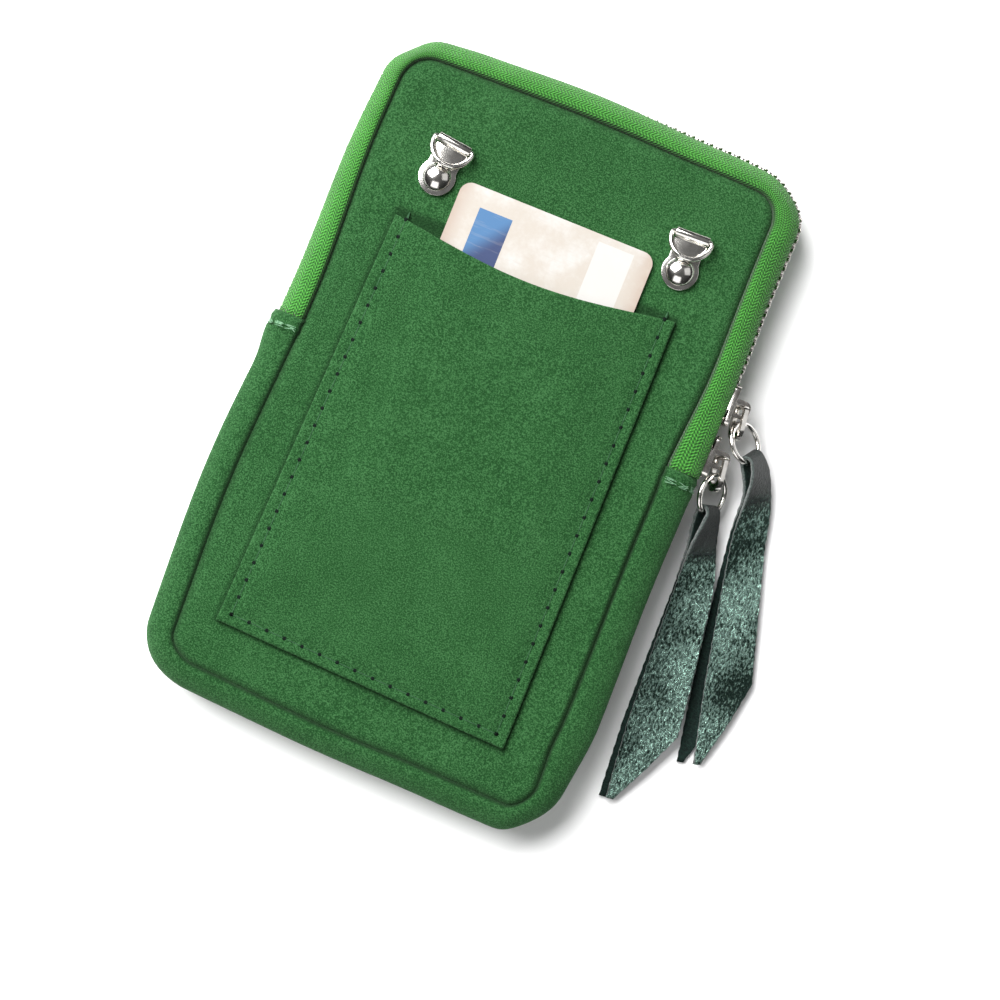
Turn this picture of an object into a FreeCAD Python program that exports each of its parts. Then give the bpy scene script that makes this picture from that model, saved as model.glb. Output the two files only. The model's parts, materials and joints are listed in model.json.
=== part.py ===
import FreeCAD, Part

import math
import os

# A flat zipped suede pouch with a card pocket on its front.
# It lies on its back: +X is the slider side, +Y the zipped top, +Z out of the front.
# The origin is the middle of the rear face. All sizes are in millimetres.

Vector = FreeCAD.Vector

# Pouch
pouch_width = 118.0            # X
pouch_height = 185.0           # Y
pouch_depth = 18.0             # Z, rear face to front face
corner_radius = 14.0           # corners of the outline
edge_round = 6.5               # rolled edge between the side wall and the two faces
seam_inset = 6.5               # outline to the seam around the front and rear panels
suede_thickness = 1.4
zip_end_y = 10.5               # where the zip stops and the suede gusset starts, on both sides
hem_depth = 6.5                # folded end of the gusset
hem_rise = 0.5                 # how far the folded end stands proud

# Zip
tape_thickness = 0.8
tape_recess = 0.3              # the tape lies this far under the suede's outer surface
tape_edge = 1.2                # middle of the zip to the edge of each tape
tooth_pitch = 2.65             # along one row
tooth_width = 1.1              # along the zip
tooth_thickness = 2.2          # through the tape
tooth_root = 2.7               # middle of the zip to the back of a tooth
tooth_nose = 0.7               # how far a tooth reaches past the middle
jaw_clearance = 0.25           # between a tooth's jaws and the tape, each side
parted_gap = 2.0               # how far each row stands off the middle between the sliders

# Sliders
upper_slider_y = 31.8
lower_slider_y = 17.4
slider_length = 11.4
slider_tail_width = 8.0        # at the end where the rows are joined
slider_head_width = 12.0       # at the end where the rows part
slider_wall = 1.1
slider_rim = 0.85              # side walls of the slider
slider_rim_length = 7.2
nose_round = 1.5               # corner radii of the slider's plates
tail_round = 1.6
channel_outer = 1.35           # chain centre to the outer plate
channel_inner = 1.85           # chain centre to the inner plate
outer_rim_reach = 0.65
inner_rim_reach = 0.45
shoulder_start = -2.0          # where the slider starts to widen, from its middle to its head
shoulder_run = 6.0
bridge_width = 1.8
bridge_length = 3.4
crown_length = 5.0
crown_width = 2.2
crown_opening = 3.3            # height of the space under the crown
crown_beam = 1.1

# Pull tabs
pull_width = 7.2
pull_thickness = 1.2
pull_hole_width = 4.4
pull_hole_spare = 2.3          # hole of the pull beyond the place of the ring
pull_rim = 2.1
pull_pin_radius = 0.65
pull_pin_headroom = 1.25       # top of the crown's opening to the middle of the pin
pull_play = 0.1                # pin to the end of the crown's opening
pull_twist = 22.0              # degrees about its own length
pull_lift = 8.0                # degrees outwards from the zip
ring_set_back = 1.0            # end of the slider back to where the ring passes through the pull

# Rings and straps
ring_radius = 5.3              # centre line
ring_wire = 1.4
strap_thickness = 1.1
strap_fold_width = 5.2
strap_fold_radius = 1.25       # inside of the fold around the ring
strap_gap = 0.1                # between the two tails
strap_landing = 25.0           # distance from the fold to where the tails lie flat
strap_swing_out = 2.5          # sideways reach of the tails before they lie flat
strap_touch = 60.0             # distance from the fold to where an arched tail bends down
strap_touch_run = 22.0
strap_tack = 11.0              # distance from the fold to the thread
# distance from the fold, left edge and right edge of a tail
upper_tail = [(0.0, -2.6, 2.6), (5.0, -3.9, 3.9), (11.0, -4.1, 4.1), (18.0, -4.3, 4.3),
              (25.0, -4.6, 4.6), (60.0, -6.2, 6.2), (84.0, -6.4, -5.4)]
lower_tail = [(0.0, -2.6, 2.6), (5.0, -3.9, 3.9), (11.0, -4.2, 4.2), (18.0, -4.8, 4.8),
              (25.0, -5.3, 5.3), (60.0, -7.0, 7.0), (82.0, -6.6, -5.6)]
thread_width = 0.6
thread_loop = 2.6

# Strap clips on the front
clip_places = {"left": (-34.0, 58.0, -6.7), "right": (34.0, 58.8, 2.0)}   # x, y, turn in degrees
clip_reach = 9.6               # rivet to the ring's hinge
clip_base_radius = 4.9
clip_neck_width = 8.2
clip_thickness = 1.0
clip_lift = 0.05               # gap under the plate, so that it swivels
barrel_length = 9.2
barrel_radius = 1.4
barrel_bore_clearance = 0.08
barrel_height = 1.75           # front face to the hinge of the ring
clip_wire = 1.3
clip_ring_half_width = 5.5     # centre line
clip_ring_corner = 0.8
clip_ring_tilt = 16.0          # degrees up from the plate at rest
rivet_cap_radius = 3.8
rivet_cap_height = 1.9
rivet_post_radius = 1.25
rivet_clearance = 0.05
rivet_tail_radius = 1.9
rivet_tail_height = 0.5
washer_radius = 4.0
washer_thickness = 0.8

# Card pocket
pocket_right_x = 37.9
pocket_top_y = 46.0
pocket_top_width = 78.2
pocket_bottom_width = 82.1
pocket_height = 120.0
pocket_bottom_slope = 3.4      # the right bottom corner is this much lower
pocket_mouth_dip = 4.6
pocket_leather = 1.3
pocket_space = 1.0             # room for cards between the pocket and the front
pocket_stitch_inset = 3.0
pocket_wall_inset = 4.4        # edge to the raised middle
stitch_pitch = 5.0
stitch_length = 3.9
stitch_width = 0.55
stitch_height = 0.35
tack_angles = {1: (20, 45, 70), -1: (15, 35, 55)}   # degrees up the rolled edge, front and rear
tack_length = 1.7
tack_width = 0.7
tack_height = 0.35

# Card, ISO ID-1
card_width = 53.98
card_length = 85.6
card_thickness = 0.76
card_corner = 3.18
card_middle_x = -0.2
card_top_y = 60.1
card_lift = 0.12

# Worked out from the sizes above
middle_z = pouch_depth / 2
chain_inset = tape_recess + tape_thickness / 2
chain_x = pouch_width / 2 - chain_inset
corner_x = pouch_width / 2 - corner_radius
corner_y = pouch_height / 2 - corner_radius
flat_half = middle_z - edge_round        # flat part of the side wall, each side of the middle
pull_ring_place = slider_length / 2 - ring_set_back      # from the pin
pull_hole_length = pull_ring_place + pull_hole_spare


def rounded_face(corners, z=0.0):
    """A flat face with corners [(x, y, radius), ...], each rounded by its own radius."""
    count = len(corners)
    points = [Vector(x, y, z) for x, y, _ in corners]
    starts, ends, arcs = [], [], []
    for i in range(count):
        here, radius = points[i], corners[i][2]
        back = (points[i - 1] - here).normalize()
        on = (points[(i + 1) % count] - here).normalize()
        half = back.getAngle(on) / 2
        if radius:
            reach = radius / math.tan(half)
            bisector = (back + on).normalize()
            starts.append(here + back * reach)
            ends.append(here + on * reach)
            middle = here + bisector * (radius / math.sin(half) - radius)
            arcs.append(Part.Arc(starts[i], middle, ends[i]).toShape())
        else:
            starts.append(here)
            ends.append(here)
            arcs.append(None)
    edges = []
    for i in range(count):
        if arcs[i]:
            edges.append(arcs[i])
        after = starts[(i + 1) % count]
        if ends[i].distanceToPoint(after) > 1e-6:
            edges.append(Part.makeLine(ends[i], after))
    return Part.Face(Part.Wire(edges))


def prism(corners, z_low, z_high):
    """An upright solid on a rounded outline."""
    return rounded_face(corners, z_low).extrude(Vector(0, 0, z_high - z_low))


def box(x_low, x_high, y_low, y_high, z_low, z_high):
    return Part.makeBox(x_high - x_low, y_high - y_low, z_high - z_low,
                        Vector(x_low, y_low, z_low))


def rectangle(width, height, radius):
    x, y = width / 2, height / 2
    return [(-x, -y, radius), (x, -y, radius), (x, y, radius), (-x, y, radius)]


def frame_at(origin, x_axis, z_axis):
    """Placement whose local X and Z axes lie along the given directions."""
    x = Vector(x_axis).normalize()
    z = Vector(z_axis)
    z = (z - x * z.dot(x)).normalize()
    y = z.cross(x)
    return FreeCAD.Placement(FreeCAD.Matrix(x.x, y.x, z.x, origin.x, x.y, y.y, z.y, origin.y,
                                            x.z, y.z, z.z, origin.z, 0, 0, 0, 1))


def placed(shape, placement):
    copy = shape.copy()
    copy.Placement = placement.multiply(copy.Placement)
    return copy


def joined(shapes):
    """One solid from shapes that overlap."""
    whole = shapes[0].fuse(shapes[1:]).removeSplitter()
    return whole.Solids[0] if len(whole.Solids) == 1 else whole


def smooth_step(value):
    value = min(max(value, 0.0), 1.0)
    return value * value * (3 - 2 * value)


# Pouch shell

def envelope(inset):
    """The pouch's outer form, moved inwards by inset all round."""
    outline = rectangle(pouch_width - 2 * inset, pouch_height - 2 * inset, corner_radius - inset)
    solid = prism(outline, inset, pouch_depth - inset)
    rims = [edge for edge in solid.Edges
            if abs(edge.BoundBox.ZMin - edge.BoundBox.ZMax) < 1e-6]
    return solid.makeFillet(edge_round - inset, rims)


def shell(outer_inset, inner_inset):
    return envelope(outer_inset).cut(envelope(inner_inset))


def panel_column():
    """Everything inside the seams of the front and rear panels."""
    outline = rectangle(pouch_width - 2 * seam_inset, pouch_height - 2 * seam_inset,
                        corner_radius - seam_inset)
    return prism(outline, -pouch_depth, 2 * pouch_depth)


def half_space(y_low, y_high, z_low, z_high):
    return box(-pouch_width, pouch_width, y_low, y_high, z_low, z_high)


def make_front_panel(suede_shell):
    panel = suede_shell.common(panel_column())
    panel = panel.common(half_space(-pouch_height, pouch_height, middle_z, 2 * pouch_depth))
    for x, y, _ in clip_places.values():
        panel = panel.cut(Part.makeCylinder(rivet_post_radius + rivet_clearance, pouch_depth,
                                            Vector(x, y, middle_z)))
    return panel


def make_rear_panel(suede_shell):
    panel = suede_shell.common(panel_column())
    return panel.common(half_space(-pouch_height, pouch_height, -pouch_depth, middle_z))


def make_gusset(suede_shell):
    """The suede side wall of the lower part, with its two folded ends."""
    wall = suede_shell.common(half_space(-pouch_height, zip_end_y, -pouch_depth, 2 * pouch_depth))
    hem = shell(-hem_rise, suede_thickness / 2)
    hem = hem.common(half_space(zip_end_y - hem_depth, zip_end_y, 0, pouch_depth))
    return joined([wall.cut(panel_column()), hem.cut(panel_column())])


# Zip chain

def parting(y):
    """How far each row of teeth stands off the middle, at this height on the slider side."""
    below = smooth_step((y - lower_slider_y - shoulder_start) / shoulder_run)
    above = smooth_step((upper_slider_y - shoulder_start - y) / shoulder_run)
    return parted_gap * below * above


def parted_space():
    """The spindle-shaped opening between the tapes, cut through the slider-side wall."""
    y_low = lower_slider_y + shoulder_start
    y_high = upper_slider_y - shoulder_start
    steps = 16
    heights = [y_low + (y_high - y_low) * i / steps for i in range(steps + 1)]
    edges = []
    for side in (1, -1):
        curve = Part.BSplineCurve()
        curve.interpolate([Vector(0, y, middle_z + side * (tape_edge + parting(y)))
                           for y in heights])
        edges.append(curve.toShape())
    for y in (y_low, y_high):
        edges.append(Part.makeLine(Vector(0, y, middle_z - tape_edge),
                                   Vector(0, y, middle_z + tape_edge)))
    outline = Part.Wire(Part.__sortEdges__(edges))
    return Part.Face(outline).extrude(Vector(pouch_width, 0, 0))


def make_tape(side):
    """One zip tape, from the panel's seam to the teeth: side 1 is the front one, -1 the rear."""
    tape = shell(tape_recess, tape_recess + tape_thickness)
    edge_z = middle_z + side * tape_edge
    far_z = middle_z + side * pouch_depth
    tape = tape.common(half_space(zip_end_y, pouch_height, min(edge_z, far_z), max(edge_z, far_z)))
    return tape.cut(panel_column()).cut(parted_space())


def along_chain(distance):
    """Point and outward direction on the chain: up the right side, over the top, down the left."""
    radius = corner_radius - chain_inset
    side = corner_y - zip_end_y
    quarter = math.pi / 2 * radius
    top = 2 * corner_x
    if distance > side + quarter + top / 2:
        point, out = along_chain(2 * (side + quarter) + top - distance)
        return Vector(-point.x, point.y, point.z), Vector(-out.x, out.y, 0)
    if distance < side:
        return Vector(chain_x, zip_end_y + distance, middle_z), Vector(1, 0, 0)
    if distance < side + quarter:
        angle = (distance - side) / radius
        out = Vector(math.cos(angle), math.sin(angle), 0)
        return Vector(corner_x, corner_y, middle_z) + out * radius, out
    reach = corner_x - (distance - side - quarter)
    return Vector(reach, corner_y + radius, middle_z), Vector(0, 1, 0)


def chain_length():
    radius = corner_radius - chain_inset
    return 2 * (corner_y - zip_end_y) + math.pi * radius + 2 * corner_x


def one_tooth():
    """Local axes: X along the zip, Y away from the middle, Z outwards."""
    half = tooth_thickness / 2
    tooth = box(-tooth_width / 2, tooth_width / 2, -tooth_nose, tooth_root, -half, half)
    jaw = tape_thickness / 2 + jaw_clearance
    return tooth.cut(box(-tooth_width, tooth_width, tape_edge, tooth_root + 1, -jaw, jaw))


def make_teeth(side):
    """One row of separate teeth: side 1 is the front row, -1 the rear one, half a pitch on."""
    tooth = one_tooth()
    first = tooth_pitch * (0.5 if side > 0 else 1.0)
    count = int((chain_length() - first - tooth_width) / tooth_pitch) + 1
    teeth = []
    for i in range(count):
        point, out = along_chain(first + i * tooth_pitch)
        away = Vector(0, 0, side)
        offset = parting(point.y) if point.x > 0 else 0.0
        bend = max(0.0, offset + (tape_edge + tooth_root) / 2 - flat_half)
        drop = edge_round - math.sqrt(edge_round ** 2 - bend ** 2)
        origin = point + away * offset - out * drop
        teeth.append(placed(tooth, frame_at(origin, away.cross(out), out)))
    return Part.makeCompound(teeth)


# Slider, pull tab, ring and strap. Slider axes: X to its head, Y across the zip, Z outwards.

def slider_outline():
    tail, head = slider_tail_width / 2, slider_head_width / 2
    start, end = shoulder_start, shoulder_start + shoulder_run
    back, front = -slider_length / 2, slider_length / 2
    return [(back, -tail, tail_round), (start, -tail, 0), (end, -head, 0), (front, -head, nose_round),
            (front, head, nose_round), (end, head, 0), (start, tail, 0), (back, tail, tail_round)]


def slider_rim_wall(side, low, high):
    """One side wall, from the tail to part-way up the shoulder."""
    tail = slider_tail_width / 2
    back = -slider_length / 2
    end = back + slider_rim_length
    widening = (slider_head_width - slider_tail_width) / 2 / shoulder_run
    wide = tail + (end - shoulder_start) * widening
    corners = [(back, side * tail, 0), (shoulder_start, side * tail, 0), (end, side * wide, 0),
               (end, side * (wide - slider_rim), 0), (shoulder_start, side * (tail - slider_rim), 0),
               (back, side * (tail - slider_rim), 0)]
    return prism(corners, low, high).common(prism(slider_outline(), low, high))


def make_slider(centre_y, head):
    outer = prism(slider_outline(), channel_outer, channel_outer + slider_wall)
    inner = prism(slider_outline(), -channel_inner - slider_wall, -channel_inner)
    rims = []
    for side in (-1, 1):
        rims.append(slider_rim_wall(side, channel_outer - outer_rim_reach,
                                    channel_outer + slider_wall / 2))
        rims.append(slider_rim_wall(side, -channel_inner - slider_wall / 2,
                                    inner_rim_reach - channel_inner))
    nose = slider_length / 2
    bridge = prism([(nose - bridge_length, 0.0, 0), (nose - bridge_length + 1.2,
                    -bridge_width / 2, 0), (nose - 0.3, -bridge_width / 2, 0.5),
                    (nose - 0.3, bridge_width / 2, 0.5),
                    (nose - bridge_length + 1.2, bridge_width / 2, 0)],
                   -channel_inner - slider_wall / 2, channel_outer + slider_wall / 2)
    base = channel_outer + slider_wall
    top = base + crown_opening + crown_beam
    half = crown_length / 2
    arch = prism([(-half, base - slider_wall / 2, 0), (half, base - slider_wall / 2, 0),
                  (half, top, 1.8), (-half, top, 1.8)], -crown_width / 2, crown_width / 2)
    hollow = half - crown_beam
    arch = arch.cut(prism([(-hollow, base, 0), (hollow, base, 0),
                           (hollow, top - crown_beam, 0.8), (-hollow, top - crown_beam, 0.8)],
                          -crown_width, crown_width))
    arch = placed(arch, frame_at(Vector(), Vector(1, 0, 0), Vector(0, -1, 0)))
    body = joined([outer, inner, bridge, arch] + rims)
    origin = Vector(chain_x, centre_y, middle_z)
    return placed(body, frame_at(origin, Vector(0, head, 0), Vector(1, 0, 0)))


def pull_frame(centre_y):
    """Axes of a pull tab: X from its pin to its free end, Y along the pin, Z through it."""
    height = channel_outer + slider_wall + crown_opening - pull_pin_headroom
    reach = crown_length / 2 - crown_beam - pull_pin_radius - pull_play
    pin = Vector(chain_x + height, centre_y + reach, middle_z)
    lift, twist = math.radians(pull_lift), math.radians(pull_twist)
    length = Vector(math.sin(lift), -math.cos(lift), 0)
    through = Vector(math.cos(twist), 0, -math.sin(twist))
    return frame_at(pin, length, through)


def make_pull(centre_y):
    half, hole = pull_width / 2, pull_hole_width / 2
    end = pull_hole_length + pull_rim
    thick = pull_thickness / 2
    plate = prism([(-pull_pin_radius, -half, 1.4), (end, -half, 3.4), (end, half, 3.4),
                   (-pull_pin_radius, half, 1.4)], -thick, thick)
    plate = plate.cut(prism([(-2, -hole, 0), (pull_hole_length, -hole, 2.0),
                             (pull_hole_length, hole, 2.0), (-2, hole, 0)], -2, 2))
    pin = Part.makeCylinder(pull_pin_radius, pull_width - 2.0, Vector(0, 1 - half, 0),
                            Vector(0, 1, 0))
    return placed(joined([plate, pin]), pull_frame(centre_y))


def ring_frame(centre_y, direction, tangent):
    """Axes of a ring: X from the pull tab to the strap, Y along its wire at the strap."""
    start = pull_frame(centre_y).multVec(Vector(pull_ring_place, 0, 0))
    x = Vector(direction).normalize()
    y = Vector(tangent)
    y = (y - x * y.dot(x)).normalize()
    return frame_at(start + x * ring_radius, x, x.cross(y))


def make_ring(frame):
    return placed(Part.makeTorus(ring_radius, ring_wire / 2), frame)


def fold_frame(frame):
    """Axes of a strap's fold: the origin is its hinge, half-way up the curve of the wire."""
    half = strap_fold_width / 2
    rise = ring_radius - math.sqrt(ring_radius ** 2 - half ** 2)
    origin = frame.multVec(Vector(ring_radius - rise / 2, 0, 0))
    return FreeCAD.Placement(origin, frame.Rotation)


def tail_section(fold, heading, distance, fan, arch):
    """Middle point, cross direction and upward direction of the tails at this distance.

    arch is how far the middle of the tails stands off the table.
    """
    angle = math.radians(heading)
    along = Vector(math.sin(angle), -math.cos(angle), 0)
    across = Vector(math.cos(angle), math.sin(angle), 0)
    start = fold.Base
    leave = fold.Rotation.multVec(Vector(1, 0, 0))
    table_z = strap_thickness + strap_gap / 2 + arch
    landing = start + along * (strap_landing - 1.0) + across * strap_swing_out
    landing.z = table_z
    t = min(distance / strap_landing, 1.0)
    pull = strap_landing / 3
    near, far = start + leave * pull, landing - along * pull
    middle = (start * (1 - t) ** 3 + near * (3 * t * (1 - t) ** 2)
              + far * (3 * t ** 2 * (1 - t)) + landing * t ** 3)
    if distance > strap_landing:
        middle = landing + along * (distance - strap_landing)
        middle.z -= arch * smooth_step((distance - strap_touch) / strap_touch_run)
    ahead = (near - start) * (1 - t) ** 2 + (far - near) * (2 * t * (1 - t)) + (landing - far) * t ** 2
    turn = smooth_step(t)
    cross = fold.Rotation.multVec(Vector(0, 1, 0)) * (1 - turn) + across * turn
    cross = (cross - ahead * (cross.dot(ahead) / ahead.dot(ahead))).normalize()
    up = ahead.cross(cross).normalize()
    spread = max(0.0, distance - strap_tack) * math.tan(math.radians(fan))
    return middle + cross * spread, cross, up


def tail_offset(distance):
    """Middle of the strap to the middle of one tail."""
    folded = strap_fold_radius + strap_thickness / 2
    flat = (strap_gap + strap_thickness) / 2
    return folded + (flat - folded) * smooth_step(distance / strap_tack)


def make_tail(fold, heading, outline, side, fan, arch):
    """One tail, lofted through its cross sections: side 1 is the upper one, -1 the lower."""
    sections = []
    for distance, left, right in outline:
        middle, cross, up = tail_section(fold, heading, distance, fan, arch)
        low = side * tail_offset(distance) - strap_thickness / 2
        corners = [middle + cross * a + up * (low + b)
                   for a, b in ((left, 0), (right, 0), (right, strap_thickness),
                                (left, strap_thickness))]
        sections.append(Part.makePolygon(corners + corners[:1]))
    return Part.makeLoft(sections, True, True)


def make_strap(frame, heading, outline, fan, arch):
    """Leather folded around the ring, and the thread that holds its two tails together."""
    fold = fold_frame(frame)
    half = strap_fold_width / 2
    outer_radius = strap_fold_radius + strap_thickness
    bend = Part.makeCylinder(outer_radius, strap_fold_width, Vector(0, -half, 0), Vector(0, 1, 0))
    bend = bend.cut(Part.makeCylinder(strap_fold_radius, strap_fold_width, Vector(0, -half, 0),
                                      Vector(0, 1, 0)))
    bend = bend.cut(box(0, outer_radius, -half, half, -outer_radius, outer_radius))
    leather = joined([placed(bend, fold), make_tail(fold, heading, outline, 1, 0.0, arch),
                      make_tail(fold, heading, outline, -1, fan, arch)])
    middle, cross, up = tail_section(fold, heading, strap_tack, 0.0, arch)
    seat = frame_at(middle, cross, up)
    height = strap_thickness + strap_gap / 2 + thread_width / 2
    loops = []
    for centre in (-thread_loop * 0.65, thread_loop * 0.65):
        left, right = centre - thread_loop / 2, centre + thread_loop / 2
        loop = box(left, right, -thread_width / 2, thread_width / 2, -height, height)
        inside = height - thread_width
        loop = loop.cut(box(left + thread_width, right - thread_width, -thread_width,
                            thread_width, -inside, inside))
        loops.append(placed(loop, seat))
    thread = Part.makeCompound(loops)
    return leather.cut(thread), thread


# Strap clips. Clip axes: X across, Y from the rivet to the ring's hinge, Z off the front face.

def clip_frame(name):
    x, y, turn = clip_places[name]
    return FreeCAD.Placement(Vector(x, y, pouch_depth), FreeCAD.Rotation(Vector(0, 0, 1), turn))


def make_clip_plate(name):
    neck = clip_neck_width / 2
    base = Part.makeCylinder(clip_base_radius, clip_thickness, Vector(0, 0, clip_lift))
    flare = barrel_length / 2
    tongue = prism([(-neck, 0, 0), (neck, 0, 0), (neck, clip_reach * 0.55, 1.5),
                    (flare, clip_reach * 0.8, 1.0), (flare, clip_reach, 0),
                    (-flare, clip_reach, 0), (-flare, clip_reach * 0.8, 1.0),
                    (-neck, clip_reach * 0.55, 1.5)], clip_lift, clip_lift + clip_thickness)
    barrel = Part.makeCylinder(barrel_radius, barrel_length,
                               Vector(-flare, clip_reach, barrel_height), Vector(1, 0, 0))
    web = box(-flare, flare, clip_reach - barrel_radius, clip_reach, clip_lift, barrel_height)
    plate = joined([base, tongue, web, barrel])
    bore = clip_wire / 2 + barrel_bore_clearance
    plate = plate.cut(Part.makeCylinder(bore, pouch_width, Vector(-pouch_width / 2, clip_reach,
                                                                  barrel_height), Vector(1, 0, 0)))
    post = rivet_post_radius + rivet_clearance
    plate = plate.cut(Part.makeCylinder(post, pouch_depth, Vector(0, 0, -middle_z)))
    return placed(plate, clip_frame(name))


def make_clip_ring(name):
    """D-shaped ring: local X along its straight bar, local Y to the far side of its curve."""
    wire, half, corner = clip_wire / 2, clip_ring_half_width, clip_ring_corner
    straight = half - corner
    pieces = [Part.makeCylinder(wire, 2 * straight, Vector(-straight, 0, 0), Vector(1, 0, 0))]
    up = Vector(0, 0, 1)
    curve = Part.makeTorus(half, wire, Vector(0, corner, 0), up)
    pieces.append(curve.common(box(-2 * half, 2 * half, corner, 3 * half, -half, half)))
    for side in (-1, 1):
        bend = Part.makeTorus(corner, wire, Vector(side * straight, corner, 0), up)
        outside = box(0, 2 * half, -half, corner, -half, half)
        outside.translate(Vector(side * straight - (2 * half if side < 0 else 0), 0, 0))
        pieces.append(bend.common(outside))
    ring = joined(pieces)
    hinge = frame_at(Vector(0, clip_reach, barrel_height), Vector(-1, 0, 0), Vector(0, 0, 1))
    tilt = FreeCAD.Placement(Vector(), FreeCAD.Rotation(Vector(1, 0, 0), clip_ring_tilt))
    return placed(ring, clip_frame(name).multiply(hinge).multiply(tilt))


def make_rivet(name):
    """Domed cap, post through the clip, the suede and the washer, and its flattened tail."""
    seat = clip_lift + clip_thickness + 0.03
    sphere = (rivet_cap_radius ** 2 + rivet_cap_height ** 2) / (2 * rivet_cap_height)
    dome = Part.makeSphere(sphere, Vector(0, 0, seat + rivet_cap_height - sphere))
    dome = dome.common(Part.makeCylinder(rivet_cap_radius, sphere, Vector(0, 0, seat)))
    tail_z = -suede_thickness - washer_thickness
    post = Part.makeCylinder(rivet_post_radius, seat + 0.5 - tail_z, Vector(0, 0, tail_z))
    tail = Part.makeCylinder(rivet_tail_radius, rivet_tail_height,
                             Vector(0, 0, tail_z - rivet_tail_height))
    return placed(joined([dome, post, tail]), clip_frame(name))


def make_washer(name):
    washer = Part.makeCylinder(washer_radius, washer_thickness,
                               Vector(0, 0, -suede_thickness - washer_thickness))
    washer = washer.cut(Part.makeCylinder(rivet_post_radius + rivet_clearance, pouch_depth,
                                          Vector(0, 0, -middle_z)))
    return placed(washer, clip_frame(name))


# Card pocket, stitching and card

def pocket_corners(inset):
    """Top left, bottom left, bottom right and top right, moved in from the three sewn edges."""
    right = pocket_right_x
    top_left = Vector(right - pocket_top_width, pocket_top_y, 0)
    bottom_y = pocket_top_y - pocket_height
    bottom_left = Vector(right - pocket_bottom_width, bottom_y + pocket_bottom_slope, 0)
    bottom_right = Vector(right, bottom_y, 0)
    top_right = Vector(right, pocket_top_y, 0)
    up_left = (top_left - bottom_left).normalize()
    up_right = (top_right - bottom_right).normalize()
    across = (bottom_right - bottom_left).normalize()
    level = Vector(1, 0, 0)
    return [top_left + level * inset, bottom_left + (up_left + across) * inset,
            bottom_right + (up_right - across) * inset, top_right - level * inset]


def pocket_prism(inset, z_low, z_high, mouth_rise=0.0):
    """The pocket's outline, with its dipping mouth, made solid between two heights."""
    top_left, bottom_left, bottom_right, top_right = pocket_corners(inset)
    lift = Vector(0, mouth_rise, 0)
    dip = (top_left + top_right) / 2 - Vector(0, pocket_mouth_dip, 0) + lift
    mouth = Part.Arc(top_right + lift, dip, top_left + lift).toShape()
    path = [top_left + lift, bottom_left, bottom_right, top_right + lift]
    sides = [Part.makeLine(a, b) for a, b in zip(path, path[1:])]
    face = Part.Face(Part.Wire([mouth] + sides))
    face.translate(Vector(0, 0, z_low))
    return face.extrude(Vector(0, 0, z_high - z_low))


def make_pocket():
    base = pouch_depth
    patch = pocket_prism(0.0, base, base + pocket_leather)
    raised = pocket_prism(pocket_wall_inset, base, base + pocket_space + pocket_leather)
    room = pocket_prism(pocket_wall_inset + pocket_leather, base, base + pocket_space,
                        mouth_rise=pocket_mouth_dip + 1.0)
    return joined([patch, raised]).cut(room)


def make_pocket_stitching():
    """A stitch every pitch, down the left edge, along the bottom and up the right edge."""
    corners = pocket_corners(pocket_stitch_inset)
    stitches = []
    for start, end in zip(corners, corners[1:]):
        run = end - start
        count = int(round(run.Length / stitch_pitch))
        step = run / count
        for i in range(count):
            middle = start + step * (i + 0.5) + Vector(0, 0, pouch_depth + pocket_leather)
            stitch = box(-stitch_length / 2, stitch_length / 2, -stitch_width / 2,
                         stitch_width / 2, 0, stitch_height)
            stitches.append(placed(stitch, frame_at(middle, run, Vector(0, 0, 1))))
    return Part.makeCompound(stitches)


def make_hem_stitching():
    """Short tack stitches over the rolled edges of both folded gusset ends."""
    stitches = []
    y = zip_end_y - hem_depth / 2
    radius = edge_round + hem_rise
    stitch = box(-tack_length / 2, tack_length / 2, -tack_width / 2, tack_width / 2,
                 0, tack_height)
    for side in (-1, 1):
        for face in (-1, 1):
            for degrees in tack_angles[face]:
                angle = math.radians(degrees)
                out = Vector(side * math.cos(angle), 0, face * math.sin(angle))
                centre = Vector(side * (pouch_width / 2 - edge_round), y,
                                middle_z + face * flat_half)
                stitches.append(placed(stitch, frame_at(centre + out * radius,
                                                        out.cross(Vector(0, 1, 0)), out)))
    return Part.makeCompound(stitches)


def make_card():
    low = pouch_depth + card_lift
    card = prism(rectangle(card_width, card_length, card_corner), low, low + card_thickness)
    card.translate(Vector(card_middle_x, card_top_y - card_length / 2, 0))
    return card


# The whole pouch

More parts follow.
